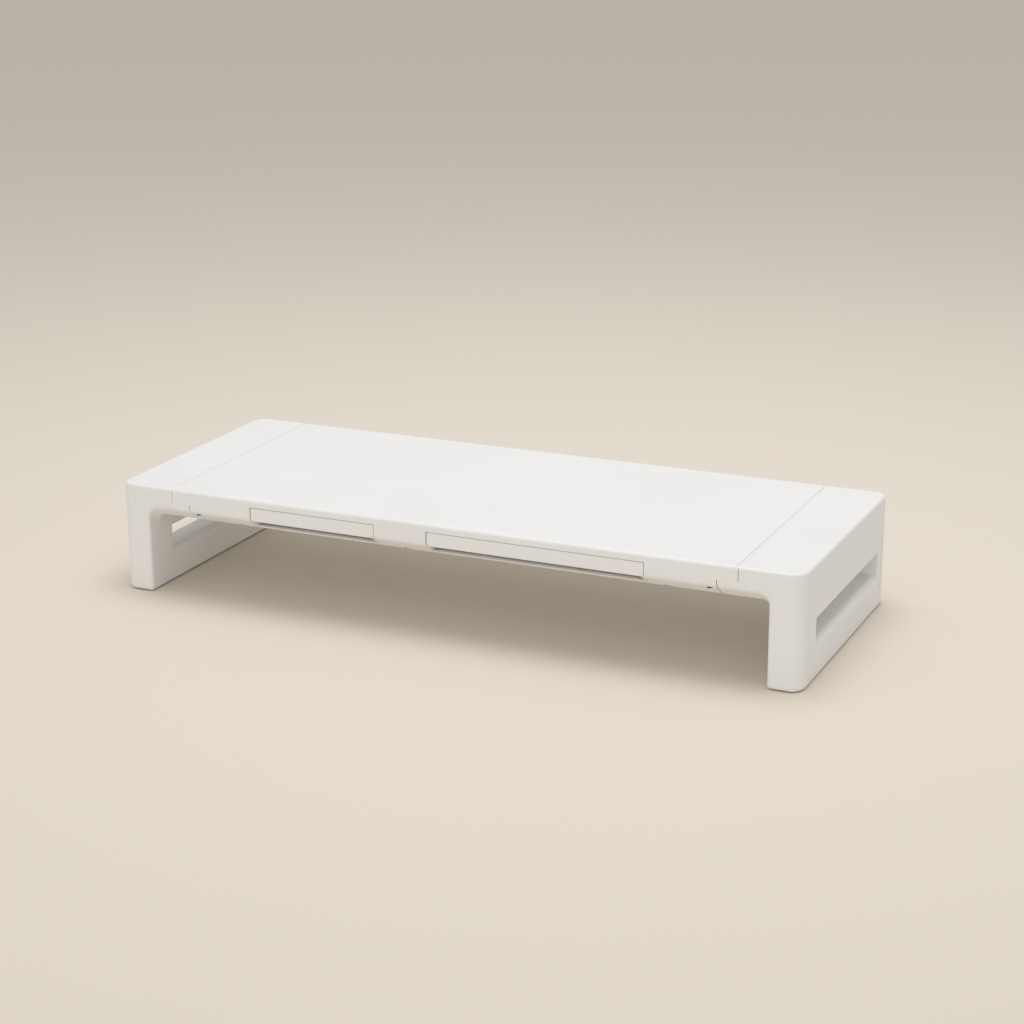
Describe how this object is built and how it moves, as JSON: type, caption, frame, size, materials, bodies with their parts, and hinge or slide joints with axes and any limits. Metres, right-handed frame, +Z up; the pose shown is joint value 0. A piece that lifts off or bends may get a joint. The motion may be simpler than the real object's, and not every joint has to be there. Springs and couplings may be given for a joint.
{
  "type": "monitor riser stand",
  "caption": "Low white moulded riser stand for a monitor: a flat top on two slab legs with through windows, and two shallow drawers side by side in its front edge.",
  "frame": {"origin": "centre of the stand's footprint on the desk", "axes": "+X along the width to the right, the drawers face -Y, +Z up"},
  "size_m": [0.6, 0.228, 0.094],
  "materials": {
    "shell_white": "fine moulded grain, satin",
    "drawer_white": "fine moulded grain, satin",
    "rail_white": "smooth low-friction strip",
    "rubber_grey": "matte rubber",
    "brace_steel": "galvanised square tube",
    "screw_steel": "zinc plated",
    "screw_black": "black oxide"
  },
  "bodies": {
    "stand": {"top_shell": "shell_white", "bottom_cover": "shell_white", "left_leg": "shell_white", "right_leg": "shell_white", "left_side_panel": "shell_white", "right_side_panel": "shell_white", "small_drawer_rails": "rail_white", "wide_drawer_rails": "rail_white", "small_drawer_buffers": "rubber_grey", "wide_drawer_buffers": "rubber_grey", "rear_brace": "brace_steel", "brace_screws": "screw_steel", "cover_screws": "screw_steel", "leg_screws": "screw_black", "front_left_foot": "rubber_grey", "rear_left_foot": "rubber_grey", "front_right_foot": "rubber_grey", "rear_right_foot": "rubber_grey"},
    "small_drawer": {"small_drawer": "drawer_white"},
    "wide_drawer": {"wide_drawer": "drawer_white"}
  },
  "joints": [
    {"name": "small_drawer_slide", "type": "slide", "parent": "stand", "child": "small_drawer", "axis": [0, -1, 0], "range_m": [0, 0.13]},
    {"name": "wide_drawer_slide", "type": "slide", "parent": "stand", "child": "wide_drawer", "axis": [0, -1, 0], "range_m": [0, 0.13]}
  ]
}
